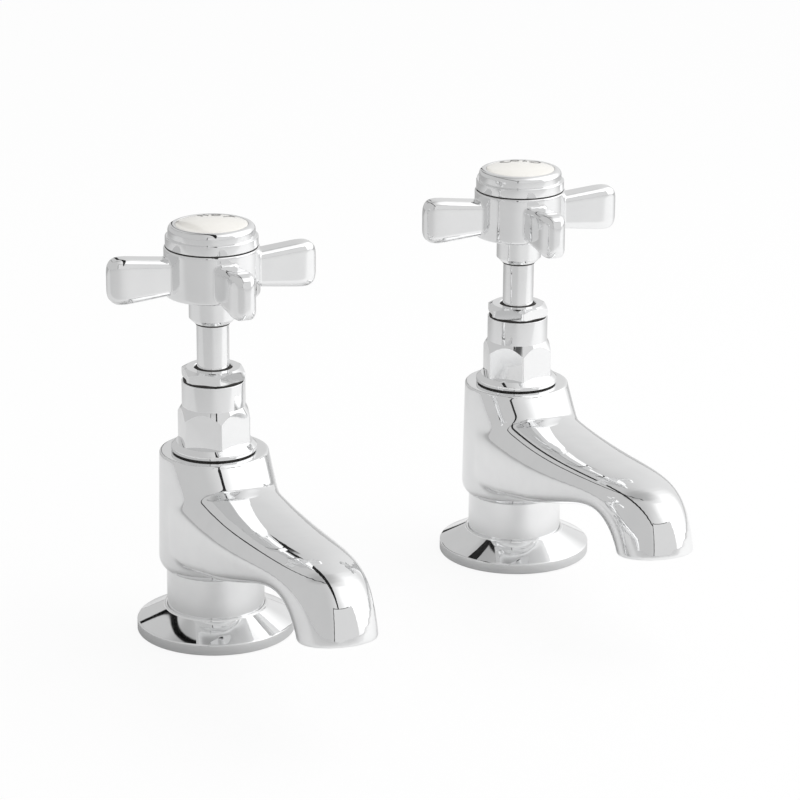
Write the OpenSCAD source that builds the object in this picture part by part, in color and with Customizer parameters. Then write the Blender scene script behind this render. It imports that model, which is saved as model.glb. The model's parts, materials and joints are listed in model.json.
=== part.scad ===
// Pair of pillar bath taps with crosshead handles, hot and cold.
// Each tap stands on its own deck flange. Z is up and the deck is the plane Z = 0.
// The spouts point along -Y. The origin is on the hot tap's axis at the deck.

/* [Layout] */
// Side distance between the two tap axes
tap_spacing = 136.3; // [110:0.1:220]
// How far the cold tap stands behind the hot tap
cold_setback = 30.2; // [0:0.1:45]
// Turn of the hot handle from square, closed
hot_handle_angle = -2.1; // [-45:0.1:45]
// Turn of the cold handle from square, closed
cold_handle_angle = -4.4; // [-45:0.1:45]
// Turn of the hot headwork's hexagon
hot_hex_angle = 20.8; // [0:0.1:60]
// Turn of the cold headwork's hexagon
cold_hex_angle = 14.6; // [0:0.1:60]

/* [Deck flange] */
// Outer diameter of the flange
flange_d = 58; // [52:0.5:66]
// Height of the flange's upright rim
flange_rim_h = 4.2; // [3:0.1:5]
// Height of the flange where it meets the neck
flange_h = 9.4; // [7.5:0.1:11]
// Wire diameter of the bead round the neck
bead_d = 1.2; // [0.8:0.1:1.6]
// Thickness of the flange under the neck's foot
flange_ledge_t = 2.4; // [2:0.1:2.9]
// Thickness of the deck gasket
gasket_t = 1.6; // [1:0.1:2]
// Outer diameter of the deck gasket
gasket_d = 51; // [44:0.5:51]

/* [Body] */
// Outer diameter of the neck
neck_d = 35.7; // [34:0.1:37]
// Length of the neck between the flange and the barrel
neck_l = 14.3; // [10:0.1:25]
// Outer diameter of the barrel at its foot
barrel_d = 41.3; // [40:0.1:44]
// Outer diameter of the barrel at its top
barrel_top_d = 39.8; // [39:0.1:41]
// Height of the barrel
barrel_h = 45.4; // [43:0.1:52]
// Radius of the rounding round the barrel's foot
barrel_foot_r = 5; // [3:0.1:6]
// Bevel round the barrel's top edge
barrel_top_bevel = 0.7; // [0.3:0.1:1]
// How far the shoulder over the spout leans forward for each unit of drop
shoulder_lean = 0.95; // [0.7:0.05:1.1]

/* [Spout] */
// Distance from the tap's axis to the middle of the outlet
spout_reach = 115.5; // [100:0.1:125]
// Height of the outlet's middle above the deck
outlet_h = 38.8; // [33:0.1:41]
// Outer diameter of the spout at its outlet
outlet_d = 27.2; // [24:0.1:29]
// Forward tilt of the outlet's face
outlet_tilt = 9.3; // [0:0.1:15]
// Drop from the barrel's top to the spout's top line at the root
spout_top_drop = 5.1; // [4:0.1:9]
// Rise from the barrel's foot to the spout's under line at the root
spout_under_rise = 5.6; // [4:0.1:8]
// Half width of the spout at its root
spout_root_w = 19.6; // [18:0.1:19.6]
// Wall between the spout's skin and its waterway
spout_wall = 3.5; // [2.5:0.1:4]

/* [Valve] */
// Diameter of the inlet bore
inlet_d = 16; // [12:0.5:16]
// Diameter of the port in the valve seat
port_d = 15; // [12:0.5:15]
// Width of the raised seat round the port
seat_w = 1.8; // [1.2:0.1:2.4]
// Height of the raised seat over the chamber floor
seat_rim_h = 1.5; // [1:0.1:2]
// Height of the chamber floor above the barrel's foot
chamber_rise = 15.6; // [14:0.1:16.5]
// Diameter of the valve chamber
chamber_d = 24; // [23:0.1:25]
// Outer diameter of the tap washer
washer_d = 21; // [19:0.1:21.5]
// Thickness of the tap washer
washer_t = 4; // [3:0.1:4.5]
// Thickness of the jumper's plate
jumper_plate_t = 2; // [1.5:0.1:2.5]
// Diameter of the jumper's stem
jumper_stem_d = 6; // [5:0.1:7]
// Length of the jumper's stem above its plate
jumper_stem_l = 13.5; // [10:0.1:16]
// Diameter of the jumper's stud through the washer
jumper_stud_d = 4.8; // [4:0.1:5.5]
// Width across flats of the washer nut
washer_nut_af = 8; // [7.5:0.1:10]
// Height of the washer nut
washer_nut_h = 3.2; // [2.5:0.1:4]
// Climb of the spindle in one turn
thread_lead = 2.5; // [2:0.1:3]
// Turns of the handle from closed to fully open
open_turns = 2.25; // [1:0.25:2.5]

/* [Headwork] */
// Diameter of the thread that screws into the body
headwork_thread_d = 26.3; // [25.5:0.1:27]
// Length of that thread
headwork_thread_l = 10.7; // [9:0.1:11.5]
// Thickness of the washer under the headwork
bonnet_washer_t = 0.5; // [0.4:0.1:1]
// Diameter of the headwork's flange
headwork_flange_d = 31.2; // [30:0.1:33]
// Height of that flange's upright rim
headwork_rim_h = 1.4; // [1:0.1:2]
// Height of the cone from the rim to the hexagon
headwork_cone_h = 3.1; // [2:0.1:4]
// Width across flats of the hexagon
headwork_af = 24; // [23.5:0.1:25.5]
// Height of the hexagon with its bevelled top
headwork_hex_h = 12.5; // [9:0.1:15]
// Diameter of the plain round top
headwork_top_d = 23; // [22:0.1:23.2]
// Height of the plain round top
headwork_top_h = 9; // [7:0.1:12]
// Diameter of the packing space
packing_space_d = 16.8; // [15:0.1:17.5]
// Depth of the packing space
packing_space_h = 11; // [9.5:0.1:12.5]
// Height of the packing
packing_h = 5; // [3:0.1:6]
// Length of the spindle's close guide under the packing
guide_l = 6; // [4:0.1:7]

/* [Gland nut] */
// Width across flats of the gland nut
gland_af = 21; // [19.5:0.1:22]
// Height of the gland nut's hexagon
gland_hex_h = 4.2; // [3.5:0.1:6]
// Diameter of the neck between the gland nut and the headwork
gland_neck_d = 20.4; // [19:0.1:20.6]
// Height of that neck, seen as a dark groove
gland_neck_h = 0.75; // [0.5:0.05:1.2]
// Bevel on the gland nut's corners
gland_bevel = 1.4; // [0.8:0.1:1.6]

/* [Spindle] */
// Diameter of the spindle's plain shaft
spindle_d = 11.7; // [10.6:0.1:12]
// Diameter of the spindle's lower thread
spindle_thread_d = 13.9; // [13:0.1:14.5]
// Gap that stays over the spindle's thread when the tap is fully open
thread_stop_gap = 2.7; // [1:0.1:4]
// Length of shaft that shows between the gland nut and the collar
spindle_show_l = 16.9; // [10:0.1:20]
// Diameter over the splines under the handle
spline_d = 9.2; // [8:0.1:9.6]
// Number of splines
spline_count = 12; // [8:1:16]
// Depth of the splines
spline_depth = 0.6; // [0.4:0.1:0.8]

/* [Handle] */
// Diameter of the collar under the hub
collar_d = 17; // [15.5:0.1:19]
// Height of the collar
collar_h = 10.4; // [8:0.1:13]
// Bevel at the collar's foot
collar_bevel = 1.7; // [1:0.1:1.9]
// Length of plain shaft inside the collar
collar_socket_l = 4.4; // [3:0.1:6]
// Diameter of the hub
hub_d = 34.4; // [32.5:0.1:36]
// Height of the hub
hub_h = 17.7; // [16:0.1:21]
// Bevel on the hub's edges
hub_bevel = 0.6; // [0.3:0.1:0.8]
// Depth of the recess under the index ring
hub_recess_h = 6.5; // [6.4:0.1:7.5]
// Diameter of that recess
hub_recess_d = 28.4; // [27:0.1:29]
// Thickness of the floor that the handle screw clamps
hub_floor_t = 2.2; // [1.8:0.1:3]
// Distance across two opposite arms, tip to tip
arm_span = 78.3; // [68:0.1:90]
// Thickness of an arm
arm_t = 9.4; // [7:0.1:10.5]
// Height of an arm where it leaves the hub
arm_root_h = 14.3; // [11:0.1:14.6]
// Height of an arm near its tip
arm_tip_h = 16.3; // [14.8:0.1:17.5]
// Height of the arms' middle line above the hub's foot
arm_rise = 8; // [7.8:0.1:8.8]
// Length of the rounded tip
arm_tip_l = 8; // [5:0.1:9]

/* [Handle screw] */
// Diameter of the handle screw's shank
screw_d = 4; // [3:0.1:4.5]
// Length of the shank
screw_l = 12; // [8:0.5:14]
// Diameter of the screw's head
screw_head_d = 7.6; // [6:0.1:9]
// Height of the screw's head
screw_head_h = 2.5; // [2:0.1:3]

/* [Index] */
// Diameter of the index ring's lower step
ring_low_d = 33.3; // [31.5:0.1:34]
// Height of the lower step
ring_low_h = 3.6; // [3:0.1:5]
// Diameter of the upper step
ring_up_d = 31.3; // [30:0.1:31.7]
// Height of the upper step
ring_up_h = 4.1; // [3.5:0.1:5]
// Radius of the rounding on the upper step
ring_round_r = 2; // [1:0.1:2.2]
// Height of the fine groove between hub and ring
ring_groove_h = 0.3; // [0.2:0.05:0.5]
// Length of the ring's skirt in the hub
ring_skirt_l = 4.6; // [3:0.1:5]
// Diameter of the ceramic disc
disc_d = 25.9; // [24:0.1:26]
// Thickness of the disc at its edge
disc_edge_t = 3.3; // [2.5:0.1:3.4]
// Height of the disc's dome
disc_dome_h = 1.6; // [1:0.1:2.5]

/* [Inlet tail] */
// Diameter over the tail's 3/4 inch pipe thread
tail_d = 26.44; // [20.9:0.01:26.44]
// Length of the tail below the deck
tail_l = 46; // [45:0.5:60]
// Length of the tail inside the neck
tail_in_l = 10; // [8:0.1:12]
// Bevel at the tail's foot
tail_bevel = 1.2; // [0.8:0.1:1.5]
// Width of the thread's relief groove below the backnut
relief_w = 2; // [1:0.1:3]
// Depth of that groove, down to the thread's root
relief_depth = 1.16; // [0.6:0.02:1.2]
// Thickness of the deck that the tap clamps
deck_t = 16; // [3:0.5:18]
// Outer diameter of the washer under the deck
backnut_washer_d = 42; // [38:0.5:46]
// Thickness of that washer
backnut_washer_t = 2; // [1.5:0.1:3]
// Width across flats of the backnut
backnut_af = 36; // [34:0.5:40]
// Height of the backnut
backnut_h = 9; // [7:0.5:10]
// Bevel on the backnut's corners
backnut_bevel = 1; // [0.5:0.1:1.5]

/* [Fits] */
// Radial clearance between a threaded piece and its mate
thread_clearance = 0.05; // [0.03:0.01:0.08]
// Radial clearance of the turning and sliding shafts
running_clearance = 0.05; // [0.03:0.01:0.09]
// Radial clearance of the spindle's guide and of loose rings
loose_clearance = 0.1; // [0.05:0.01:0.2]
// Radial clearance round the spindle in the gland nut
gland_clearance = 0.3; // [0.2:0.05:0.5]

/* [Hidden] */
$fn = 96;

// A cut reaches this far past the face that it opens
cut_over = 1;
// Rings and points of the swept skins
spout_rings = 24;
spout_points = 36;
way_rings = 18;
way_points = 20;
shoulder_points = 48;
shoulder_steps = 4;
arm_points = 24;
// Fullness of an arm's oval section, and of its rounded tip
arm_fullness = 4;
arm_tip_fullness = 3.6;
// Solids of one piece run this far into each other
join_over = 0.5;

// Heights of the fixed pieces, from the deck up
ledge_top_z = gasket_t + flange_ledge_t;
tail_top_z = ledge_top_z + tail_in_l;
barrel_z = flange_h + neck_l;
barrel_top_z = barrel_z + barrel_h;
floor_z = barrel_z + chamber_rise;
floor_t = 3;
seat_z = floor_z + seat_rim_h;
plate_z = seat_z + washer_t;
plate_top_z = plate_z + jumper_plate_t;
headwork_z = barrel_top_z + bonnet_washer_t;
stem_foot_z = barrel_top_z - headwork_thread_l;
hex_z = headwork_z + headwork_rim_h + headwork_cone_h;
round_top_z = hex_z + headwork_hex_h;
headwork_top_z = round_top_z + headwork_top_h;
packing_z = headwork_top_z - packing_space_h;
guide_z = packing_z - guide_l;
gland_hex_z = headwork_top_z + gland_neck_h;
gland_top_z = gland_hex_z + gland_hex_h;

// Heights of the turning pieces
spindle_z = plate_top_z + running_clearance;
full_lift = thread_lead * open_turns;
spindle_neck_z = guide_z - full_lift - thread_stop_gap;
spindle_thread_l = spindle_neck_z - spindle_z;
collar_z = gland_top_z + spindle_show_l;
spline_z = collar_z + collar_socket_l;
hub_z = collar_z + collar_h;
hub_top_z = hub_z + hub_h;
recess_z = hub_top_z - hub_recess_h;
hub_floor_z = recess_z - hub_floor_t;
spindle_top_z = hub_floor_z - loose_clearance;
arm_z = hub_z + arm_rise;
ring_low_z = hub_top_z + ring_groove_h;
ring_up_z = ring_low_z + ring_low_h;
ring_top_z = ring_up_z + ring_up_h;
disc_z = ring_top_z - disc_edge_t;
screw_hole_l = screw_l + cut_over;

// Heights below the deck
backnut_washer_z = -deck_t - backnut_washer_t;
backnut_z = backnut_washer_z - backnut_h;

// Radii that follow from a mate and a clearance
tail_bore_r = tail_d / 2 + thread_clearance;
tail_pass_r = tail_d / 2 + 2 * loose_clearance;
headwork_bore_r = headwork_thread_d / 2 + thread_clearance;
spindle_nut_r = spindle_thread_d / 2 + running_clearance;
guide_r = spindle_d / 2 + loose_clearance;
gland_hole_r = spindle_d / 2 + gland_clearance;
packing_r = packing_space_d / 2 - thread_clearance;
stud_hole_r = jumper_stud_d / 2 + thread_clearance;
stem_socket_r = jumper_stem_d / 2 + running_clearance;
jumper_plate_r = washer_d / 2 + 2 * loose_clearance;
ring_skirt_r = hub_recess_d / 2 - thread_clearance;

// Places of the two taps on the deck
hot_place = [0, 0, 0];
cold_place = [tap_spacing, cold_setback, 0];

// The spout's outlines in its own upright plane, as [reach, height].
// The first ring stands inside the barrel, this far from its axis.
spout_start = 6;
outlet_r = outlet_d / 2;
outlet_mid = [spout_reach, outlet_h];
outlet_across = [cos(outlet_tilt), sin(outlet_tilt)];
outlet_down = [sin(outlet_tilt), -cos(outlet_tilt)];
outlet_edge = 0.8;
// Slopes of the outlines at the root, and of the under line at the outlet
top_slope = -9.2;
under_slope = 5.3;
under_end_slope = 46.7;
// How far each outline is pulled at its ends, for each unit of reach or of outlet diameter
top_root_pull = 0.638;
top_end_pull = 1.44;
under_root_pull = 0.554;
under_end_pull = 1.055;
top_line = [
    [spout_start, barrel_top_z - spout_top_drop],
    [spout_start, barrel_top_z - spout_top_drop]
        + top_root_pull * spout_reach * [cos(top_slope), sin(top_slope)],
    outlet_mid + outlet_r * outlet_across - top_end_pull * outlet_d * outlet_down,
    outlet_mid + outlet_r * outlet_across
];
under_line = [
    [spout_start, barrel_z + spout_under_rise],
    [spout_start, barrel_z + spout_under_rise]
        + under_root_pull * spout_reach * [cos(under_slope), sin(under_slope)],
    outlet_mid - outlet_r * outlet_across
        + under_end_pull * outlet_d * [-cos(under_end_slope), sin(under_end_slope)],
    outlet_mid - outlet_r * outlet_across
];

// The waterway's half width, and how far its floor and roof stand from the outlines at the root
way_half_w = outlet_r - spout_wall;
way_lip = 1.5;
way_root_floor = seat_z + floor_t + way_lip - seat_rim_h - (barrel_z + spout_under_rise);
way_root_roof = 2;

function bezier(line, s) =
    pow(1 - s, 3) * line[0] + 3 * pow(1 - s, 2) * s * line[1]
    + 3 * (1 - s) * s * s * line[2] + pow(s, 3) * line[3];

function blend(from, to, s) = from + (to - from) * s * s * (3 - 2 * s);

function signed_power(value, power) = sign(value) * pow(abs(value), power);

// One oval ring of the spout between its two outlines, drawn in by under_in and top_in
function spout_ring(s, half_w, under_in, top_in, points, further = 0) =
    let (
        top = bezier(top_line, s),
        under = bezier(under_line, s),
        across = (top - under) / norm(top - under),
        high = top - top_in * across + further * outlet_down,
        low = under + under_in * across + further * outlet_down,
        mid = (high + low) / 2,
        half = (high - low) / 2
    )
    [for (j = [0:points - 1])
        let (turn = 360 * j / points, p = mid + sin(turn) * half)
        [half_w * cos(turn), -p[0], p[1]]];

// One ring of an arm at a distance from the handle's axis: a box with well rounded edges
function arm_ring(x, half_t, half_h) =
    [for (j = [0:arm_points - 1])
        let (turn = 360 * j / arm_points)
        [x, half_t * signed_power(cos(turn), 2 / arm_fullness),
            half_h * signed_power(sin(turn), 2 / arm_fullness)]];

// Skin through a stack of rings, with flat ends
module loft(rings) {
    count = len(rings);
    points = len(rings[0]);
    polyhedron(
        points = [for (ring = rings) for (p = ring) p],
        faces = [
            for (i = [0:count - 2]) for (j = [0:points - 1])
                let (a = i * points + j, b = i * points + (j + 1) % points)
                each [[a, a + points, b + points], [a, b + points, b]],
            for (j = [1:points - 2]) [0, j, j + 1],
            for (j = [1:points - 2])
                let (last = (count - 1) * points)
                [last, last + j + 1, last + j]
        ]
    );
}

module tube(d, bore_d, h) {
    difference() {
        cylinder(d = d, h = h);
        translate([0, 0, -cut_over]) cylinder(d = bore_d, h = h + 2 * cut_over);
    }
}

// Round bar with a bevel at both ends
module bevelled_bar(r, h, bevel) {
    rotate_extrude()
        polygon([[0, 0], [r - bevel, 0], [r, bevel], [r, h - bevel], [r - bevel, h], [0, h]]);
}

// Hexagon bar with its corners turned down at the top and, if wanted, at the foot
module hexagon(af, h, top_bevel, foot_bevel = 0) {
    corner_r = af / sqrt(3);
    // A thirty degree turning takes this much off the corner's radius
    top_in = top_bevel * sqrt(3);
    foot_in = foot_bevel * sqrt(3);
    intersection() {
        cylinder(r = corner_r, h = h, $fn = 6);
        rotate_extrude()
            polygon([[0, 0], [corner_r - foot_in, 0], [corner_r, foot_bevel],
                [corner_r, h - top_bevel], [corner_r - top_in, h], [0, h]]);
    }
}

module barrel_skin() {
    foot_r = barrel_d / 2 - barrel_foot_r;
    top_r = barrel_top_d / 2;
    translate([0, 0, barrel_z]) {
        cylinder(r = foot_r, h = barrel_foot_r + cut_over);
        rotate_extrude() translate([foot_r, barrel_foot_r]) intersection() {
            circle(r = barrel_foot_r);
            translate([0, -barrel_foot_r]) square(barrel_foot_r);
        }
        translate([0, 0, barrel_foot_r])
            cylinder(r1 = barrel_d / 2, r2 = top_r, h = barrel_h - barrel_foot_r - barrel_top_bevel);
        translate([0, 0, barrel_h - barrel_top_bevel])
            cylinder(r1 = top_r, r2 = top_r - barrel_top_bevel, h = barrel_top_bevel);
    }
}

// The sloping front between the barrel's top and the spout: discs that slide forward as they drop
module shoulder_skin() {
    top_z = barrel_top_z - barrel_top_bevel;
    drop = 20;
    // The slope starts a little inside the barrel's edge and narrows towards the spout
    top_in = 0.5;
    low_in = 1.4;
    start = 0.2;
    top_w = barrel_top_d / 2 - top_in;
    low_w = spout_root_w - low_in;
    loft([for (i = [0:shoulder_steps])
        let (
            part = i / shoulder_steps,
            forward = start + shoulder_lean * drop * part,
            w = top_w + (low_w - top_w) * part
        )
        [for (j = [0:shoulder_points - 1])
            let (turn = 360 * j / shoulder_points)
            [w * cos(turn), -forward - w * sin(turn), top_z - drop * part]]
    ]);
}

module spout_skin() {
    edge = outlet_edge / sqrt(2);
    loft(concat(
        [for (i = [0:spout_rings])
            let (s = i / spout_rings)
            spout_ring(s, blend(spout_root_w, outlet_r, s), 0, 0, spout_points)],
        [spout_ring(1, outlet_r - edge, edge, edge, spout_points, outlet_edge)]
    ));
}

module waterway() {
    loft(concat(
        [for (i = [0:way_rings])
            let (s = i / way_rings, near = pow(1 - s, 3))
            spout_ring(s, way_half_w, spout_wall + (way_root_floor - spout_wall) * near,
                spout_wall + way_root_roof * near, way_points)],
        [spout_ring(1, way_half_w, spout_wall, spout_wall, way_points, outlet_edge + cut_over)]
    ));
}

module body() {
    color("gainsboro") difference() {
        union() {
            barrel_skin();
            translate([0, 0, ledge_top_z]) cylinder(d = neck_d, h = barrel_z + 2 * cut_over - ledge_top_z);
            shoulder_skin();
            spout_skin();
        }
        // Socket for the tail, then the inlet up to the seat's port
        translate([0, 0, ledge_top_z - cut_over]) cylinder(r = tail_bore_r, h = tail_in_l + cut_over);
        translate([0, 0, ledge_top_z]) cylinder(d = inlet_d, h = floor_z - floor_t - ledge_top_z);
        translate([0, 0, floor_z - floor_t - cut_over])
            cylinder(d = port_d, h = floor_t + seat_rim_h + 2 * cut_over);
        // Valve chamber round the raised seat, and the headwork's thread above it
        translate([0, 0, floor_z]) tube(chamber_d, port_d + 2 * seat_w, seat_rim_h + join_over);
        translate([0, 0, seat_z]) cylinder(d = chamber_d, h = stem_foot_z - seat_z);
        translate([0, 0, stem_foot_z - join_over])
            cylinder(r = headwork_bore_r, h = headwork_thread_l + join_over + cut_over);
        waterway();
    }
}

module base_flange() {
    outer_r = flange_d / 2;
    bead_r = neck_d / 2 + bead_d / 2;
    foot_edge = 0.4;
    rim_edge = 0.5;
    color("gainsboro") difference() {
        union() {
            rotate_extrude()
                polygon([[0, 0], [outer_r - foot_edge, 0], [outer_r, foot_edge],
                    [outer_r, flange_rim_h - rim_edge], [outer_r - rim_edge, flange_rim_h],
                    [bead_r + bead_d, flange_h - foot_edge], [bead_r, flange_h], [0, flange_h]]);
            translate([0, 0, flange_h]) rotate_extrude()
                translate([bead_r, 0]) circle(d = bead_d, $fn = 32);
        }
        translate([0, 0, -cut_over]) cylinder(r = tail_pass_r, h = flange_h);
        translate([0, 0, -cut_over])
            cylinder(d = gasket_d + 2 * loose_clearance, h = gasket_t + cut_over);
        translate([0, 0, ledge_top_z]) cylinder(r = neck_d / 2 + thread_clearance, h = flange_h);
    }
}

module deck_gasket() {
    color("dimgray") tube(gasket_d, 2 * tail_pass_r, gasket_t);
}

module tail() {
    thread_r = tail_d / 2;
    color("goldenrod") difference() {
        rotate_extrude()
            polygon([[0, -tail_l], [thread_r - tail_bevel, -tail_l], [thread_r, -tail_l + tail_bevel],
                [thread_r, backnut_z - relief_w], [thread_r - relief_depth, backnut_z - relief_w],
                [thread_r - relief_depth, backnut_z], [thread_r, backnut_z],
                [thread_r, tail_top_z], [0, tail_top_z]]);
        translate([0, 0, -tail_l - cut_over])
            cylinder(d = inlet_d, h = tail_top_z + tail_l + 2 * cut_over);
    }
}

module backnut_washer() {
    color("ivory") translate([0, 0, backnut_washer_z])
        tube(backnut_washer_d, 2 * tail_pass_r, backnut_washer_t);
}

module backnut() {
    color("goldenrod") translate([0, 0, backnut_z]) difference() {
        hexagon(backnut_af, backnut_h, backnut_bevel, backnut_bevel);
        translate([0, 0, -cut_over]) cylinder(r = tail_bore_r, h = backnut_h + 2 * cut_over);
    }
}

module bonnet_washer() {
    color("dimgray") translate([0, 0, barrel_top_z])
        tube(headwork_flange_d - 2 * join_over, headwork_thread_d + 2 * loose_clearance, bonnet_washer_t);
}

module headwork() {
    flange_r = headwork_flange_d / 2;
    hex_bevel = (headwork_af / sqrt(3) - headwork_top_d / 2) / sqrt(3);
    color("gainsboro") difference() {
        union() {
            translate([0, 0, stem_foot_z])
                cylinder(d = headwork_thread_d, h = headwork_thread_l + bonnet_washer_t);
            translate([0, 0, headwork_z]) cylinder(r = flange_r, h = headwork_rim_h);
            translate([0, 0, headwork_z + headwork_rim_h])
                cylinder(r1 = flange_r, r2 = headwork_af / 2, h = headwork_cone_h);
            translate([0, 0, hex_z - join_over])
                hexagon(headwork_af, headwork_hex_h + join_over, hex_bevel);
            translate([0, 0, hex_z]) cylinder(d = headwork_top_d, h = headwork_top_z - hex_z);
        }
        translate([0, 0, stem_foot_z - cut_over])
            cylinder(r = spindle_nut_r, h = guide_z - stem_foot_z + cut_over);
        translate([0, 0, guide_z - cut_over]) cylinder(r = guide_r, h = guide_l + 2 * cut_over);
        translate([0, 0, packing_z]) cylinder(d = packing_space_d, h = packing_space_h + cut_over);
    }
}

module gland_packing() {
    color("white") translate([0, 0, packing_z])
        tube(2 * packing_r, spindle_d + 2 * running_clearance, packing_h);
}

module gland_nut() {
    mouth_bevel = 1;
    color("gainsboro") difference() {
        union() {
            translate([0, 0, packing_z + packing_h])
                cylinder(r = packing_r, h = gland_hex_z - packing_z - packing_h + cut_over);
            translate([0, 0, headwork_top_z]) cylinder(d = gland_neck_d, h = gland_neck_h + cut_over);
            translate([0, 0, gland_hex_z]) hexagon(gland_af, gland_hex_h, gland_bevel, gland_bevel / 2);
        }
        translate([0, 0, packing_z]) cylinder(r = gland_hole_r, h = gland_top_z - packing_z + cut_over);
        translate([0, 0, gland_top_z - mouth_bevel])
            cylinder(r1 = gland_hole_r, r2 = gland_hole_r + 2 * mouth_bevel, h = 2 * mouth_bevel);
    }
}

module jumper() {
    stud_end = 0.8;
    stud_l = washer_t + washer_nut_h + stud_end;
    color("goldenrod") {
        translate([0, 0, plate_z - stud_l]) cylinder(d = jumper_stud_d, h = stud_l + join_over);
        translate([0, 0, plate_z]) cylinder(r = jumper_plate_r, h = jumper_plate_t);
        translate([0, 0, plate_z + join_over])
            cylinder(d = jumper_stem_d, h = jumper_plate_t + jumper_stem_l - join_over);
    }
}

module tap_washer() {
    color("dimgray") translate([0, 0, seat_z]) tube(washer_d, 2 * stud_hole_r, washer_t);
}

module washer_nut() {
    color("goldenrod") translate([0, 0, seat_z - washer_nut_h]) difference() {
        hexagon(washer_nut_af, washer_nut_h, 0, washer_nut_h / 6);
        translate([0, 0, -cut_over]) cylinder(r = stud_hole_r, h = washer_nut_h + 2 * cut_over);
    }
}

// Where one spline's foot and crest begin and end, as parts of its pitch
spline_flanks = [-0.3, -0.14, 0.14, 0.3];

// Outline of the splined end, made wider by grow
module spline_outline(grow = 0) {
    high_r = spline_d / 2 + grow;
    low_r = high_r - spline_depth;
    polygon([for (i = [0:spline_count - 1]) for (k = [0:3])
        let (
            turn = 360 * (i + spline_flanks[k]) / spline_count,
            r = (k == 0 || k == 3) ? low_r : high_r
        )
        r * [cos(turn), sin(turn)]]);
}

module spindle() {
    spindle_bevel = 0.8;
    color("gainsboro") difference() {
        union() {
            translate([0, 0, spindle_z])
                bevelled_bar(spindle_thread_d / 2, spindle_thread_l, spindle_bevel);
            translate([0, 0, spindle_neck_z - cut_over])
                cylinder(d = spindle_d, h = spline_z - spindle_neck_z + cut_over);
            translate([0, 0, spline_z - cut_over])
                linear_extrude(spindle_top_z - spline_z + cut_over) spline_outline();
        }
        translate([0, 0, spindle_z - cut_over])
            cylinder(r = stem_socket_r, h = jumper_stem_l + join_over + cut_over);
        translate([0, 0, spindle_top_z - screw_hole_l])
            cylinder(r = screw_d / 2 + thread_clearance, h = screw_hole_l + cut_over);
    }
}

module arm() {
    root_x = hub_recess_d / 2 + join_over;
    hub_x = hub_d / 2;
    tip_x = arm_span / 2 - arm_tip_l;
    half_t = arm_t / 2;
    flare = (arm_tip_h - arm_root_h) / 2 / (tip_x - hub_x);
    function half_height(x) = arm_root_h / 2 + flare * (x - hub_x);
    straight = [for (x = [root_x, hub_x + 1, (hub_x + tip_x) / 2])
        arm_ring(x, half_t, half_height(x))];
    // The tip closes in these steps of its length
    tip = [for (part = [0, 0.35, 0.6, 0.78, 0.9, 0.97, 0.995])
        let (
            x = tip_x + arm_tip_l * part,
            left = pow(1 - pow(part, arm_tip_fullness), 1 / arm_tip_fullness)
        )
        arm_ring(x, half_t * left, half_height(x) * left)];
    translate([0, 0, arm_z]) loft(concat(straight, tip));
}

module handle() {
    color("gainsboro") difference() {
        union() {
            translate([0, 0, collar_z]) rotate_extrude()
                polygon([[0, 0], [collar_d / 2 - collar_bevel, 0], [collar_d / 2, collar_bevel],
                    [collar_d / 2, collar_h + cut_over], [0, collar_h + cut_over]]);
            translate([0, 0, hub_z]) bevelled_bar(hub_d / 2, hub_h, hub_bevel);
            for (quarter = [0:3]) rotate(90 * quarter) arm();
        }
        translate([0, 0, collar_z - cut_over])
            cylinder(r = spindle_d / 2 + thread_clearance, h = collar_socket_l + cut_over);
        translate([0, 0, spline_z - cut_over])
            linear_extrude(hub_floor_z - spline_z + cut_over) spline_outline(thread_clearance);
        translate([0, 0, hub_floor_z - cut_over])
            cylinder(r = screw_d / 2 + 2 * loose_clearance, h = hub_floor_t + 2 * cut_over);
        translate([0, 0, recess_z]) cylinder(d = hub_recess_d, h = hub_recess_h + cut_over);
    }
}

module handle_screw() {
    slot_w = 1.2;
    slot_h = 1.2;
    head_bevel = 0.4;
    color("silver") difference() {
        union() {
            translate([0, 0, recess_z]) bevelled_bar(screw_head_d / 2, screw_head_h, head_bevel);
            translate([0, 0, spindle_top_z - screw_l])
                cylinder(d = screw_d, h = recess_z - spindle_top_z + screw_l + join_over);
        }
        translate([-screw_head_d / 2 - cut_over, -slot_w / 2, recess_z + screw_head_h - slot_h])
            cube([screw_head_d + 2 * cut_over, slot_w, slot_h + cut_over]);
    }
}

module index_ring() {
    low_r = ring_low_d / 2;
    up_r = ring_up_d / 2;
    groove_depth = 0.5;
    low_bevel = 0.3;
    skirt_wall = 2.6;
    mouth_r = disc_d / 2 + thread_clearance;
    color("gainsboro") difference() {
        union() {
            translate([0, 0, hub_top_z - ring_skirt_l])
                cylinder(r = ring_skirt_r, h = ring_skirt_l + cut_over);
            translate([0, 0, hub_top_z])
                cylinder(r = low_r - groove_depth, h = ring_groove_h + cut_over);
            translate([0, 0, ring_low_z]) bevelled_bar(low_r, ring_low_h, low_bevel);
            translate([0, 0, ring_up_z - cut_over])
                cylinder(r = up_r, h = ring_up_h - ring_round_r + cut_over);
            translate([0, 0, ring_top_z - ring_round_r]) {
                cylinder(r = up_r - ring_round_r, h = ring_round_r);
                rotate_extrude() translate([up_r - ring_round_r, 0]) intersection() {
                    circle(r = ring_round_r);
                    square(ring_round_r);
                }
            }
        }
        translate([0, 0, disc_z]) cylinder(r = mouth_r, h = disc_edge_t + cut_over);
        translate([0, 0, hub_top_z - ring_skirt_l - cut_over])
            cylinder(r = ring_skirt_r - skirt_wall, h = ring_skirt_l + disc_z - hub_top_z + 2 * cut_over);
    }
}

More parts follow.
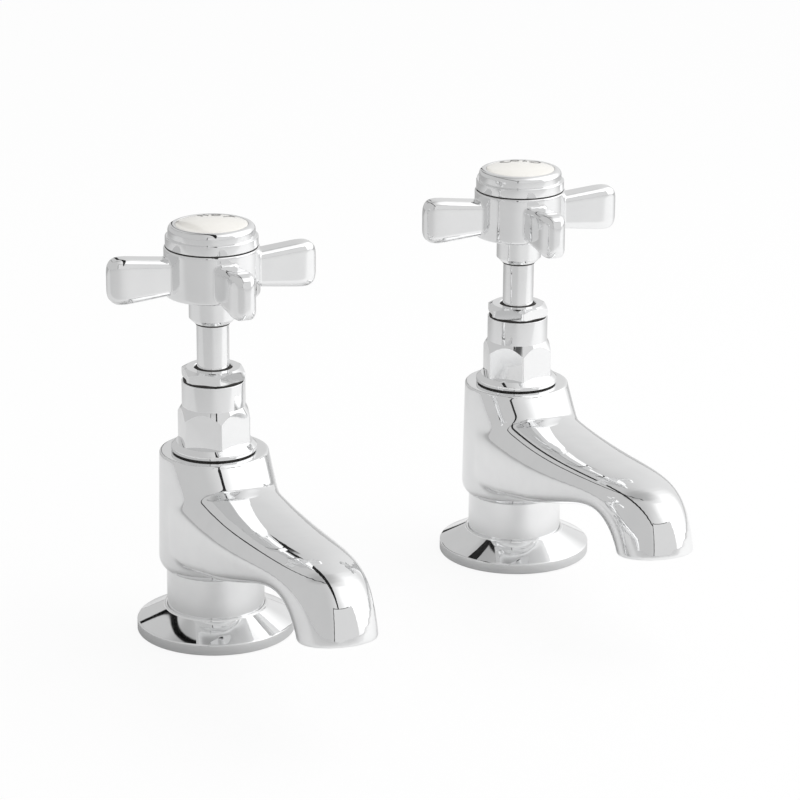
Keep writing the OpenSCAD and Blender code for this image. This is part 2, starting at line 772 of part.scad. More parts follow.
module index_disc() {
    edge_r = disc_d / 2;
    dome_r = (edge_r * edge_r + disc_dome_h * disc_dome_h) / (2 * disc_dome_h);
    color("ivory") translate([0, 0, disc_z]) intersection() {
        cylinder(r = edge_r, h = disc_edge_t + disc_dome_h);
        translate([0, 0, disc_edge_t + disc_dome_h - dome_r]) sphere(r = dome_r, $fn = 180);
    }
}

module hot_body() translate(hot_place) body();
module hot_base_flange() translate(hot_place) base_flange();
module hot_deck_gasket() translate(hot_place) deck_gasket();
module hot_tail() translate(hot_place) tail();
module hot_backnut_washer() translate(hot_place) backnut_washer();
module hot_backnut() translate(hot_place) backnut();
module hot_bonnet_washer() translate(hot_place) bonnet_washer();
module hot_headwork() translate(hot_place) rotate(hot_hex_angle) headwork();
module hot_gland_packing() translate(hot_place) gland_packing();
module hot_gland_nut() translate(hot_place) rotate(hot_hex_angle) gland_nut();
module hot_jumper() translate(hot_place) jumper();
module hot_tap_washer() translate(hot_place) tap_washer();
module hot_washer_nut() translate(hot_place) washer_nut();
module hot_spindle() translate(hot_place) rotate(hot_handle_angle) spindle();
module hot_handle() translate(hot_place) rotate(hot_handle_angle) handle();
module hot_handle_screw() translate(hot_place) rotate(hot_handle_angle) handle_screw();
module hot_index_ring() translate(hot_place) index_ring();
module hot_index_disc() translate(hot_place) index_disc();

module cold_body() translate(cold_place) body();
module cold_base_flange() translate(cold_place) base_flange();
module cold_deck_gasket() translate(cold_place) deck_gasket();
module cold_tail() translate(cold_place) tail();
module cold_backnut_washer() translate(cold_place) backnut_washer();
module cold_backnut() translate(cold_place) backnut();
module cold_bonnet_washer() translate(cold_place) bonnet_washer();
module cold_headwork() translate(cold_place) rotate(cold_hex_angle) headwork();
module cold_gland_packing() translate(cold_place) gland_packing();
module cold_gland_nut() translate(cold_place) rotate(cold_hex_angle) gland_nut();
module cold_jumper() translate(cold_place) jumper();
module cold_tap_washer() translate(cold_place) tap_washer();
module cold_washer_nut() translate(cold_place) washer_nut();
module cold_spindle() translate(cold_place) rotate(cold_handle_angle) spindle();
module cold_handle() translate(cold_place) rotate(cold_handle_angle) handle();
module cold_handle_screw() translate(cold_place) rotate(cold_handle_angle) handle_screw();
module cold_index_ring() translate(cold_place) index_ring();
module cold_index_disc() translate(cold_place) index_disc();

hot_body();
hot_base_flange();
hot_deck_gasket();
hot_tail();
hot_backnut_washer();
hot_backnut();
hot_bonnet_washer();
hot_headwork();
hot_gland_packing();
hot_gland_nut();
hot_jumper();
hot_tap_washer();
hot_washer_nut();
hot_spindle();
hot_handle();
hot_handle_screw();
hot_index_ring();
hot_index_disc();
cold_body();
cold_base_flange();
cold_deck_gasket();
cold_tail();
cold_backnut_washer();
cold_backnut();
cold_bonnet_washer();
cold_headwork();
cold_gland_packing();
cold_gland_nut();
cold_jumper();
cold_tap_washer();
cold_washer_nut();
cold_spindle();
cold_handle();
cold_handle_screw();
cold_index_ring();
cold_index_disc();
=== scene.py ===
import json
import math

import bmesh
import bpy
from mathutils import Matrix, Vector

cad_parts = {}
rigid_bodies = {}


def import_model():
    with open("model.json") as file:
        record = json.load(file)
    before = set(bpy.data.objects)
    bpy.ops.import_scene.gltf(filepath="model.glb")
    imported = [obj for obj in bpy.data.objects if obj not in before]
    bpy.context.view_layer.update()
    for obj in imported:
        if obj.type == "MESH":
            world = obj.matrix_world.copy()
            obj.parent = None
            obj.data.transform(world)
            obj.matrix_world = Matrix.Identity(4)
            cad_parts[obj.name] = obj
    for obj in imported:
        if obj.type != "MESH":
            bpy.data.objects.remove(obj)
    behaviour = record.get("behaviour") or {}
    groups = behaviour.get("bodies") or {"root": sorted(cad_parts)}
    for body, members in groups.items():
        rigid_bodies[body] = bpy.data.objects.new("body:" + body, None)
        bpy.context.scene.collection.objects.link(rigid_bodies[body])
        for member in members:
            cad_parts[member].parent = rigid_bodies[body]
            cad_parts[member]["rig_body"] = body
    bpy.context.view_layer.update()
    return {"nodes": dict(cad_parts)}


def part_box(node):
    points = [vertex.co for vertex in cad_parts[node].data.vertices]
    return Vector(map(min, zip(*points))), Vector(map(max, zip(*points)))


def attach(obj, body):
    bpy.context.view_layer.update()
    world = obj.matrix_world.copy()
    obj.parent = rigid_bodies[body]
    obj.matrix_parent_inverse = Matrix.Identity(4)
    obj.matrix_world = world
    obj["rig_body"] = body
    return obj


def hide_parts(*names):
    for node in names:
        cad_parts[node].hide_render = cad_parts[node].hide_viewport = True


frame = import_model()
mm = 0.001
taps = ("hot", "cold")
print("frame loaded")


# camera, at the photograph's own angle

photoView = {
    "turn": 24.0,          # degrees between the spouts and the photograph's own depth
    "pitch": 18.2,         # degrees that the camera looks down
    "roll": -0.38,
    "distance": 1.454929,  # to the point that the picture is centred on
    "focal": 3250.834,     # in pixels of the picture's frame
    "frame": 800.0,        # the picture's width in pixels
    "sensor": 36.0,
    "farthest": 20.0,
    "hotBase": (-0.0672398, -0.2681026),   # the hot tap's foot, right of and beyond that point
}


def addCamera(view):
    data = bpy.data.cameras.new("photoCamera")
    data.sensor_width = view["sensor"]
    data.lens = view["focal"] / view["frame"] * data.sensor_width
    data.clip_end = view["farthest"]
    camera = bpy.data.objects.new("photoCamera", data)
    bpy.context.collection.objects.link(camera)
    pitch = math.radians(view["pitch"])
    roll = math.radians(view["roll"])
    turn = Matrix.Rotation(math.radians(-view["turn"]), 3, "Z")
    forward = turn @ Vector((0, math.cos(pitch), -math.sin(pitch)))
    upward = turn @ Vector((0, math.sin(pitch), math.cos(pitch)))
    right = turn @ Vector((1, 0, 0))
    rolledRight = math.cos(roll) * right - math.sin(roll) * upward
    rolledUp = math.sin(roll) * right + math.cos(roll) * upward
    target = turn @ Vector((-view["hotBase"][0], -view["hotBase"][1], 0))
    place = target - view["distance"] * forward
    rows = Matrix((rolledRight, rolledUp, -forward)).transposed()
    camera.matrix_world = Matrix.Translation(place) @ rows.to_4x4()
    bpy.context.scene.camera = camera


addCamera(photoView)
bpy.context.scene.view_settings.view_transform = "Standard"
print("camera set")


# helpers for the modelling

weldDistance = 0.001 * mm


def deselectAll():
    if bpy.context.object and bpy.context.object.mode != "OBJECT":
        bpy.ops.object.mode_set(mode="OBJECT")
    bpy.ops.object.select_all(action="DESELECT")


def choose(*objects):
    deselectAll()
    for item in objects:
        item.select_set(True)
    bpy.context.view_layer.objects.active = objects[0]


def softened(corners, steps=4):
    # a profile's corners are (radius, height) or (radius, height, rounding), all in millimetres
    points = []
    count = len(corners)
    for index, corner in enumerate(corners):
        here = Vector(corner[:2])
        if len(corner) < 3:
            points.append(here)
            continue
        before = (Vector(corners[index - 1][:2]) - here).normalized()
        after = (Vector(corners[(index + 1) % count][:2]) - here).normalized()
        half = before.angle(after) / 2
        reach = corner[2] / math.tan(half)
        middle = here + (before + after).normalized() * corner[2] / math.sin(half)
        first = here + before * reach - middle
        last = here + after * reach - middle
        sweep = first.angle_signed(last)
        for step in range(steps + 1):
            angle = sweep * step / steps
            spoke = Matrix.Rotation(-angle, 2) @ first
            points.append(middle + spoke)
    return points


def turned(name, corners, sides=96, ring=False, steps=4):
    # a profile turned round the tap's axis: each step extrudes the last ring and scales it
    points = softened(corners, steps)
    deselectAll()
    bpy.ops.mesh.primitive_circle_add(vertices=sides, radius=points[0].x * mm,
                                      location=(0, 0, points[0].y * mm),
                                      fill_type="NOTHING" if ring else "NGON")
    piece = bpy.context.object
    piece.name = name
    bpy.ops.object.transform_apply(location=True, rotation=True, scale=True)
    bpy.ops.object.mode_set(mode="EDIT")
    bpy.ops.mesh.select_all(action="SELECT")
    path = points[1:] + ([points[0]] if ring else [])
    last = points[0]
    for point in path:
        lift = (0, 0, (point.y - last.y) * mm)
        if ring:
            bpy.ops.mesh.extrude_edges_move(TRANSFORM_OT_translate={"value": lift})
        else:
            bpy.ops.mesh.extrude_region_move(TRANSFORM_OT_translate={"value": lift})
        scale = point.x / last.x
        bpy.ops.transform.resize(value=(scale, scale, 1), center_override=(0, 0, point.y * mm))
        last = point
    bpy.ops.mesh.select_all(action="SELECT")
    bpy.ops.mesh.remove_doubles(threshold=weldDistance)
    bpy.ops.mesh.normals_make_consistent(inside=False)
    bpy.ops.object.mode_set(mode="OBJECT")
    return piece


def pick(piece, elements, test):
    # in edit mode: only the faces or edges that pass the test stay selected
    bpy.ops.mesh.select_all(action="DESELECT")
    mesh = bmesh.from_edit_mesh(piece.data)
    for element in getattr(mesh, elements):
        if test(element):
            element.select_set(True)
    bmesh.update_edit_mesh(piece.data)


def applyModifier(piece, kind, **settings):
    choose(piece)
    modifier = piece.modifiers.new(kind.lower(), kind)
    for key, value in settings.items():
        setattr(modifier, key, value)
    bpy.ops.object.modifier_apply(modifier=modifier.name)


def combine(piece, other, operation):
    applyModifier(piece, "BOOLEAN", object=other, operation=operation, solver="EXACT")
    bpy.data.objects.remove(other)


def joined(*objects):
    choose(*objects)
    bpy.ops.object.join()
    return objects[0]


def evened(piece, voxel, rounds):
    # one smooth skin over shapes that run into each other, as a casting has
    choose(piece)
    piece.data.remesh_voxel_size = voxel * mm
    bpy.ops.object.voxel_remesh()
    applyModifier(piece, "SMOOTH", factor=0.5, iterations=rounds)


def finishSurface(piece, angle):
    # smooth shading, with a crease wherever two faces meet at more than the angle
    choose(piece)
    bpy.ops.object.shade_smooth_by_angle(angle=math.radians(angle))


def turnedPiece(name, values):
    piece = turned(name, values["profile"], sides=values["sides"], ring=True, steps=values["steps"])
    finishSurface(piece, values["crease"])
    return piece


def hexBar(name, acrossFlats, low, high, edge):
    # a hexagon bar with its six upright edges rounded
    deselectAll()
    bpy.ops.mesh.primitive_cylinder_add(vertices=6, radius=acrossFlats / math.sqrt(3) * mm,
                                        depth=(high - low) * mm,
                                        location=(0, 0, (low + high) / 2 * mm),
                                        rotation=(0, 0, math.pi / 2))
    bar = bpy.context.object
    bar.name = name
    bpy.ops.object.transform_apply(location=True, rotation=True, scale=True)
    bpy.ops.object.mode_set(mode="EDIT")
    upright = (high - low) * mm / 2
    pick(bar, "edges", lambda line: abs(line.verts[0].co.z - line.verts[1].co.z) > upright)
    bpy.ops.mesh.bevel(offset=edge * mm, segments=3, affect="EDGES")
    bpy.ops.object.mode_set(mode="OBJECT")
    return bar


threadPitch = 1.814
threadSteps = 48


def threadRidge(name, crest, depth, low, high):
    # one helical ridge, its foot just inside the core
    turns = int((high - low) / threadPitch)
    deselectAll()
    bpy.ops.mesh.primitive_circle_add(vertices=4, radius=threadPitch * 0.5 * mm, fill_type="NOTHING",
                                      location=((crest - depth) * mm, 0, low * mm),
                                      rotation=(math.pi / 2, 0, 0))
    ridge = bpy.context.object
    ridge.name = name
    ridge.scale = (depth / (threadPitch * 0.5), 1, 1)
    bpy.ops.object.transform_apply(location=True, rotation=True, scale=True)
    applyModifier(ridge, "SCREW", angle=math.tau, screw_offset=threadPitch * mm, iterations=turns,
                  steps=threadSteps, render_steps=threadSteps, use_merge_vertices=True)
    bpy.ops.object.mode_set(mode="EDIT")
    bpy.ops.mesh.select_all(action="DESELECT")
    bpy.ops.mesh.select_non_manifold()
    bpy.ops.mesh.edge_face_add()
    bpy.ops.mesh.select_all(action="SELECT")
    bpy.ops.mesh.normals_make_consistent(inside=False)
    bpy.ops.object.mode_set(mode="OBJECT")
    return ridge


# body: barrel, shoulder and spout in one casting

body = {
    "neckRadius": 17.85,
    "neckLow": 4.0,
    "neckHigh": 30.0,
    "barrelRadius": 20.65,
    "barrelTopRadius": 19.9,
    "barrelLow": 23.7,
    "barrelTop": 69.1,
    "barrelFloorRadius": 15.65,      # of the flat under the barrel, inside its rounded foot
    "footRounding": 5.0,
    "topEdge": 0.7,
    "topDish": (12.0, 0.05),         # the top rises by that much towards that radius
    "shoulderHalfWidths": (19.4, 18.2),
    "shoulderStart": 0.2,
    "shoulderDrop": 20.0,
    "shoulderLean": 0.95,
    "shoulderInsets": (0.3, 0.05),   # how far its skin lies inside the barrel's foot and top
    "shoulderPoints": 192,
    "spoutTop": ((6, 64.0), (78.74, 52.22), (122.59, 80.15), (128.92, 41.5)),
    "spoutUnder": ((6, 29.3), (69.71, 35.21), (82.40, 57.98), (102.08, 37.1)),
    "spoutHalfWidths": (20.2, 20.0, 14.0, 13.6),
    "upperFullness": (2.6, 2.0),     # of the section from root to tip: 2 is an ellipse, more is boxier
    "lowerFullness": (7.0, 2.2),
    "fullnessEnd": 0.75,             # the part of the spout's length where the tip's fullness is reached
    "spoutRings": 40,
    "noseRounding": ((0.15, 0.45), (0.6, 0.8)),    # inwards and beyond the tip, ring by ring
    "flank": (31.6, 13.0, 36.0, 18.4),     # the skin's foot, then its reach, height and radius in front
    "bore": (
        (13.27, 3.0), (13.27, 14.0), (8.0, 14.0), (8.0, 36.3), (7.5, 36.3), (7.5, 40.8),
        (9.3, 40.8), (9.3, 39.3), (12.0, 39.3), (12.0, 58.4), (13.2, 58.4), (13.2, 70.0),
    ),
    "wall": 3.5,
    "wallAtRoot": (9.3, 2.0),        # so much more under and over the water way
    "mouthReach": 2.0,
    "voxel": 0.49,
    "smoothing": 7,
    "sideSmoothing": 76,
    # the sides that are evened: middle, back, front, low and high limit, and over how much each fades in
    "sideLimits": (5.5, 2.5, -46.0, 24.5, 67.5),
    "sideFades": (8, 4, 6, 3, 3),
    "crease": 40,
}


def bezierPoint(line, s):
    a, b, c, d = (Vector(p) for p in line)
    return a * (1 - s) ** 3 + b * 3 * (1 - s) ** 2 * s + c * 3 * (1 - s) * s * s + d * s ** 3


def easing(first, last, s):
    return first + (last - first) * s * s * (3 - 2 * s)


def spoutRing(s, inward=0.0, rise=0.0, drop=0.0, beyond=0.0):
    # one ring of the spout at s: middle, upright direction, half width, half height and fullness
    top = bezierPoint(body["spoutTop"], s)
    under = bezierPoint(body["spoutUnder"], s)
    across = (top - under).normalized()
    along = Vector((across.y, -across.x)) * beyond
    high = top - drop * across + along
    low = under + rise * across + along
    a, b, c, d = body["spoutHalfWidths"]
    width = a * (1 - s) ** 3 + b * 3 * (1 - s) ** 2 * s + c * 3 * (1 - s) * s * s + d * s ** 3
    eased = min(1, s / body["fullnessEnd"])
    fullness = (easing(*body["upperFullness"], eased), easing(*body["lowerFullness"], eased))
    return (high + low) / 2, across, width - inward, (high - low).length / 2, fullness


def bridgedRings(name, rings, points):
    # each ring is a circle that is turned upright, moved to its place and pulled to its own section
    deselectAll()
    for index, (middle, across, halfWidth, halfHeight, fullness) in enumerate(rings):
        tilt = math.atan2(across.y, -across.x)
        place = (0, -middle.x * mm, middle.y * mm)
        bpy.ops.mesh.primitive_circle_add(vertices=points, radius=mm, fill_type="NOTHING",
                                          location=place, rotation=(tilt, 0, 0))
        if index == 0:
            piece = bpy.context.object
            piece.name = name
            bpy.ops.object.transform_apply(location=True, rotation=True, scale=True)
            bpy.ops.object.mode_set(mode="EDIT")
            bpy.ops.mesh.select_all(action="SELECT")
        upright = Matrix.Rotation(tilt, 3, "X") @ Vector((0, 1, 0))
        mesh = bmesh.from_edit_mesh(piece.data)
        for vertex in mesh.verts:
            if vertex.select:
                offset = (vertex.co - Vector(place)) / mm
                level = offset.dot(upright)
                power = 2 / fullness[0 if level > 0 else 1]
                sideways = math.copysign(abs(offset.x) ** power, offset.x) * halfWidth
                height = math.copysign(abs(level) ** power, level) * halfHeight
                vertex.co = Vector(place) + (Vector((sideways, 0, 0)) + upright * height) * mm
        bmesh.update_edit_mesh(piece.data)
        bpy.ops.mesh.select_all(action="DESELECT")
    bpy.ops.mesh.select_all(action="SELECT")
    bpy.ops.mesh.bridge_edge_loops(type="SINGLE")
    bpy.ops.mesh.select_all(action="DESELECT")
    bpy.ops.mesh.select_non_manifold()
    bpy.ops.mesh.edge_face_add()
    bpy.ops.mesh.select_all(action="SELECT")
    bpy.ops.mesh.normals_make_consistent(inside=False)
    bpy.ops.object.mode_set(mode="OBJECT")
    return piece


def sideWeight(x, y, z):
    middle, back, front, low, high = body["sideLimits"]
    depths = (abs(x) - middle, back - y, y - front, z - low, high - z)
    return min(1, *(max(depth, 0) / fade for depth, fade in zip(depths, body["sideFades"])))


def makeBarrel():
    dishRadius, dish = body["topDish"]
    return turned("barrel", [
        (body["barrelFloorRadius"], body["barrelLow"]),
        (body["barrelRadius"], body["barrelLow"], body["footRounding"]),
        (body["barrelTopRadius"], body["barrelTop"] - dish, body["topEdge"]),
        (dishRadius, body["barrelTop"]),
    ], sides=160, steps=10)


def makeShoulder():
    # discs with a skin stretched round them, so that the shoulder's sides leave the barrel smoothly
    widths = body["shoulderHalfWidths"]
    points = body["shoulderPoints"]
    topZ = body["barrelTop"] - body["topEdge"]
    lowZ = topZ - body["shoulderDrop"]
    forward = body["shoulderStart"] + body["shoulderLean"] * body["shoulderDrop"]
    deselectAll()
    bpy.ops.mesh.primitive_circle_add(vertices=points, radius=widths[0] * mm, fill_type="NOTHING",
                                      location=(0, -body["shoulderStart"] * mm, topZ * mm))
    shoulder = bpy.context.object
    bpy.ops.object.transform_apply(location=True, rotation=True, scale=True)
    bpy.ops.object.mode_set(mode="EDIT")
    foot, lowReach, lowHeight, lowRadius = body["flank"]
    footInset, topInset = body["shoulderInsets"]
    for radius, reach, height in (
        (widths[1], forward, lowZ),
        (body["barrelRadius"] - footInset, 0, foot),
        (lowRadius, lowReach, lowHeight),
        (body["barrelTopRadius"] - topInset, 0, topZ),
    ):
        bpy.ops.mesh.primitive_circle_add(vertices=points, radius=radius * mm, fill_type="NOTHING",
                                          location=(0, -reach * mm, height * mm))
    bpy.ops.mesh.select_all(action="SELECT")
    bpy.ops.mesh.convex_hull()
    bpy.ops.mesh.normals_make_consistent(inside=False)
    bpy.ops.object.mode_set(mode="OBJECT")
    return shoulder


def makeSpout():
    count = body["spoutRings"]
    rings = [spoutRing(i / count) for i in range(count + 1)]
    for inward, beyond in body["noseRounding"]:
        rings.append(spoutRing(1, inward, inward, inward, beyond))
    return bridgedRings("spout", rings, points=96)


def makeWaterWay():
    # an elliptic passage through the spout, kept a wall's thickness inside it
    count = body["spoutRings"]
    wall = body["wall"]
    under, over = body["wallAtRoot"]
    ellipse = (2.0, 2.0)
    rings = []
    for i in range(count + 1):
        s = i / count
        near = (1 - s) ** 3
        middle, across, _, height, _ = spoutRing(s, 0, wall + under * near, wall + over * near)
        rings.append((middle, across, body["spoutHalfWidths"][3] - wall, height, ellipse))
    rings.append(spoutRing(1, wall, wall, wall, body["mouthReach"]))
    return bridgedRings("way", rings, points=64)


def makeBody():
    casting = joined(makeBarrel(), makeShoulder(), makeSpout())
    evened(casting, body["voxel"], body["smoothing"])
    # the sides between barrel, shoulder and spout flow into each other
    evenedSides = casting.vertex_groups.new(name="sides")
    for vertex in casting.data.vertices:
        weight = sideWeight(*(value / mm for value in vertex.co))
        if weight > 0:
            evenedSides.add([vertex.index], weight, "REPLACE")
    applyModifier(casting, "SMOOTH", factor=0.5, iterations=body["sideSmoothing"], vertex_group="sides")

    neck = turned("neck", [
        (body["neckRadius"], body["neckLow"]),
        (body["neckRadius"], body["neckHigh"]),
    ], sides=128)
    combine(casting, neck, "UNION")
    combine(casting, turned("bore", body["bore"], sides=96), "DIFFERENCE")
    combine(casting, makeWaterWay(), "DIFFERENCE")
    finishSurface(casting, body["crease"])
    return casting


# base flange, tail and backnut; a profile runs round its piece's section

flange = {
    "profile": (
        (17.9, 4.0), (17.9, 9.85, 0.3), (19.1, 9.85, 0.55), (19.15, 9.25, 0.1), (28.55, 4.2, 0.9),
        (29.0, 3.9, 0.3), (29.0, 0.0, 0.4), (25.6, 0.0), (25.6, 1.6), (13.42, 1.6), (13.42, 4.0),
    ),
    "sides": 160,
    "steps": 4,
    "crease": 35,
}


def makeFlange():
    return turnedPiece("flange", flange)


tail = {
    "profile": ((8.0, -46.0), (11.7, -46.0), (12.1, -45.6), (12.1, 14.0), (8.0, 14.0)),
    "sides": 96,
    "threadCrest": 13.22,
    "threadDepth": 1.16,
    # below and above the groove
    "threads": (("tailThread", -44.6, -29.5), ("tailThreadAbove", -26.0, 13.0)),
    "crease": 25,
}


def makeTail():
    core = turned("tail", tail["profile"], sides=tail["sides"], ring=True)
    ridges = [threadRidge(name, tail["threadCrest"], tail["threadDepth"], low, high)
              for name, low, high in tail["threads"]]
    piece = joined(core, *ridges)
    finishSurface(piece, tail["crease"])
    return piece


backnut = {
    "acrossFlats": 36.0,
    "low": -27.0,
    "high": -18.0,
    "edge": 0.4,
    "chamfer": ((13.27, -28.0), (19.2, -28.0), (20.8, -26.0), (20.8, -19.0), (19.2, -17.0), (13.27, -17.0)),
    "sides": 96,
    "crease": 25,
}


def chamferedBar(name, values):
    # a hexagon bar that a turned shape cuts to its hole and its round chamfers
    bar = hexBar(name, values["acrossFlats"], values["low"], values["high"], values["edge"])
    combine(bar, turned("turning", values["chamfer"], sides=values["sides"], ring=True), "INTERSECT")
    return bar


def makeBacknut():
    nut = chamferedBar("backnut", backnut)
    finishSurface(nut, backnut["crease"])
    return nut


# headwork, gland nut and spindle

headwork = {
    "profile": (
        (7.0, 58.4), (12.1, 58.4), (12.1, 69.6), (15.6, 69.6, 0.2), (15.6, 71.0, 0.3), (13.9, 72.6, 0.2),
        (11.5, 72.6), (11.5, 95.6, 0.25), (8.4, 95.6), (8.4, 84.6), (5.95, 84.6), (5.95, 78.6), (7.0, 78.6),
    ),
    "acrossFlats": 24.0,
    "low": 72.4,
    "high": 87.6,
    "edge": 0.45,
    "chamfer": ((11.0, 72.0), (13.9, 72.0), (13.9, 82.2, 1.5), (11.3, 86.7, 0.3), (11.0, 87.2)),
    "sides": 128,
    "threadCrest": 13.15,
    "threadDepth": 1.0,
    "thread": (59.6, 69.0),
    "crease": 25,
}


def makeHeadwork():
    shell = turned("headwork", headwork["profile"], sides=headwork["sides"], ring=True)
    bar = chamferedBar("headworkHex", headwork)
    ridge = threadRidge("headworkThread", headwork["threadCrest"], headwork["threadDepth"], *headwork["thread"])
    piece = joined(shell, bar, ridge)
    finishSurface(piece, headwork["crease"])
    return piece


glandNut = {
    "acrossFlats": 21.0,
    "low": 96.35,
    "high": 100.55,
    "edge": 0.3,
    "chamfer": (
        (6.15, 95.9), (11.0, 95.9), (12.15, 97.05), (12.15, 99.15), (9.7, 100.56), (7.15, 100.56), (6.15, 99.55),
    ),
    "sides": 128,
    "neck": ((6.15, 89.6), (8.35, 89.6), (8.35, 95.6), (10.2, 95.6), (10.2, 96.6), (6.15, 96.6)),
    "neckSides": 96,
    "crease": 25,
}


def makeGlandNut():
    bar = chamferedBar("glandNut", glandNut)
    neck = turned("glandNeck", glandNut["neck"], sides=glandNut["neckSides"], ring=True)
    nut = joined(bar, neck)
    finishSurface(nut, glandNut["crease"])
    return nut


# dark rings that are painted shade: the shadow in the gap between the headwork and the gland nut, and round the
# spindle in the nut's top
glandShadeRings = {
    "rings": (
        ("glandGapShade", 96, ((8.4, 95.63), (10.95, 95.63, 0.2), (10.95, 96.32, 0.2), (8.4, 96.32))),
        ("nutHoleShade", 96, ((5.95, 99.4), (6.8, 99.4), (6.8, 100.15, 0.1), (6.35, 100.7, 0.1), (5.95, 100.7))),
    ),
    "crease": 40,
}

# dark rings that are painted shade: the shadow in the gaps between the handle's collar and the spindle, and
# between its hub and the index ring
jointShadeRings = {
    "rings": (
        ("collarGapShade", 96, ((5.9, 116.7), (6.2, 116.7, 0.1), (6.3, 117.6), (5.9, 117.6))),
        ("hubGapShade", 160, ((15.4, 145.57), (16.6, 145.57), (16.6, 145.84), (15.4, 145.84))),
    ),
    "crease": 40,
}


# each ring is a dark sheet that stands in for the shade in a gap
def makeShadeRings(values):
    rings = [turned(name, profile, sides=sides, ring=True) for name, sides, profile in values["rings"]]
    piece = joined(*rings)
    finishSurface(piece, values["crease"])
    return piece


spindle = {
    "profile": (
        (6.2, 46.85), (6.9, 47.6), (6.9, 69.6), (5.85, 70.25), (5.85, 121.7, 0.1), (4.55, 121.85),
        (4.55, 136.2, 0.4), (4.0, 136.75),
    ),
    "sides": 96,
    "crease": 30,
}


def makeSpindle():
    rod = turned("spindle", spindle["profile"], sides=spindle["sides"])
    finishSurface(rod, spindle["crease"])
    return rod


# crosshead handle, index ring and disc

handle = {
    "hubRadius": 17.2,
    "hubCoreRadius": 12.0,
    "hubLow": 127.85,
    "hubTop": 145.55,
    "hubRoundings": (1.0, 0.5),       # of its lower and upper edge
    "armStart": 10.0,                 # inside the hub
    "armHeight": 135.85,
    "armHalfThickness": 4.7,
    "armRootHalfHeight": 7.15,
    "armTipHalfHeight": 8.15,
    "armReach": 39.15,
    "armTipLength": 8.0,
    "armTipFullness": (2.2, 3.6),     # seen from above, and from the side
    "armTipSteps": (0.12, 0.24, 0.36, 0.46, 0.56, 0.65, 0.73, 0.8, 0.86, 0.91, 0.95, 0.98, 0.995),
    "armRounding": 2.6,
    "voxel": 0.36,
    "smoothing": 7,
    "collar": ((6.8, 117.45), (8.5, 119.15), (8.5, 130.0)),
    "bore": (
        (5.9, 117.0), (5.9, 121.85), (4.65, 121.85), (4.65, 136.85), (2.2, 136.85), (2.2, 139.05),
        (14.2, 139.05), (14.2, 147.0),
    ),
    "crease": 35,
}


def makeArm(quarter):
    # a rounded bar that grows taller outwards, then closes at its tip in small steps
    start = handle["armStart"]
    hub = handle["hubRadius"]
    tipStart = handle["armReach"] - handle["armTipLength"]
    flare = (handle["armTipHalfHeight"] - handle["armRootHalfHeight"]) / (tipStart - hub)
    thick = handle["armHalfThickness"]
    low = handle["armRootHalfHeight"] + flare * (start - hub)
    deselectAll()
    bpy.ops.mesh.primitive_cube_add(size=1, location=((start + hub) / 2 * mm, 0, handle["armHeight"] * mm),
                                    scale=((hub - start) * mm, 2 * thick * mm, 2 * low * mm))
    arm = bpy.context.object
    bpy.ops.object.transform_apply(location=True, rotation=True, scale=True)
    bpy.ops.object.mode_set(mode="EDIT")
    pick(arm, "edges", lambda line: abs(line.verts[0].co.x - line.verts[1].co.x) > mm)
    bpy.ops.mesh.bevel(offset=handle["armRounding"] * mm, segments=8, affect="EDGES")
    pick(arm, "faces", lambda face: face.normal.x > 0.9)
    steps = [(tipStart, 1, handle["armTipHalfHeight"])]
    plan, side = handle["armTipFullness"]
    for part in handle["armTipSteps"]:
        out = tipStart + handle["armTipLength"] * part
        tall = (handle["armTipHalfHeight"] + flare * (out - tipStart)) * (1 - part ** side) ** (1 / side)
        steps.append((out, (1 - part ** plan) ** (1 / plan), tall))
    lastOut, lastLeft, lastHigh = hub, 1, low
    for out, left, high in steps:
        bpy.ops.mesh.extrude_region_move(TRANSFORM_OT_translate={"value": ((out - lastOut) * mm, 0, 0)})
        bpy.ops.transform.resize(value=(1, left / lastLeft, high / lastHigh),
                                 center_override=(out * mm, 0, handle["armHeight"] * mm))
        lastOut, lastLeft, lastHigh = out, left, high
    bpy.ops.object.mode_set(mode="OBJECT")
    arm.rotation_euler = (0, 0, quarter * math.pi / 2)
    choose(arm)
    bpy.ops.object.transform_apply(location=True, rotation=True, scale=True)
    return arm


def makeHandle():
    core = handle["hubCoreRadius"]
    lowRounding, topRounding = handle["hubRoundings"]
    hub = turned("handle", [
        (core, handle["hubLow"]), (handle["hubRadius"], handle["hubLow"], lowRounding),
        (handle["hubRadius"], handle["hubTop"], topRounding), (core, handle["hubTop"]),
    ], sides=160, steps=6)
    arms = [makeArm(quarter) for quarter in range(4)]
    cross = joined(hub, *arms)
    evened(cross, handle["voxel"], handle["smoothing"])
    combine(cross, turned("collar", handle["collar"], sides=96), "UNION")
    combine(cross, turned("handleBore", handle["bore"], sides=96), "DIFFERENCE")
    finishSurface(cross, handle["crease"])
    return cross


indexRing = {
    "profile": (
        (11.55, 140.95), (14.15, 140.95), (14.15, 145.55), (16.15, 145.55), (16.15, 145.85),
        (16.65, 145.85, 0.3), (16.65, 149.45, 0.35), (15.65, 149.45), (15.65, 153.55, 2.0),
        (13.0, 153.55, 0.15), (13.0, 150.25), (11.55, 150.25),
    ),
    "sides": 160,
    "steps": 6,
    "crease": 32,
}


def makeIndexRing():
    return turnedPiece("indexRing", indexRing)


disc = {
    "radius": 12.95,
    "footRadius": 11.0,
    "low": 150.25,
    "edge": 153.55,
    "edgeDrop": 0.1,          # the rounded edge lies that much lower than the dome's foot
    "rounding": 0.3,
    "rise": 1.6,
    "domeRadii": (12.6, 11.5, 10, 8, 6, 4, 2, 0.8, 0.2),
    "sides": 128,
    "crease": 45,
    "letterRadius": 8.0,
    "letterSize": 7.2,
    "letterNarrowing": 0.66,
    "letterThinning": 0.1,
    "letterDepth": 0.05,
    # each letter, and its angle round the disc
    "letters": {"hot": (("H", 91), ("O", 58), ("T", 24)),
                "cold": (("C", 110), ("O", 79), ("L", 50), ("D", 19))},
}


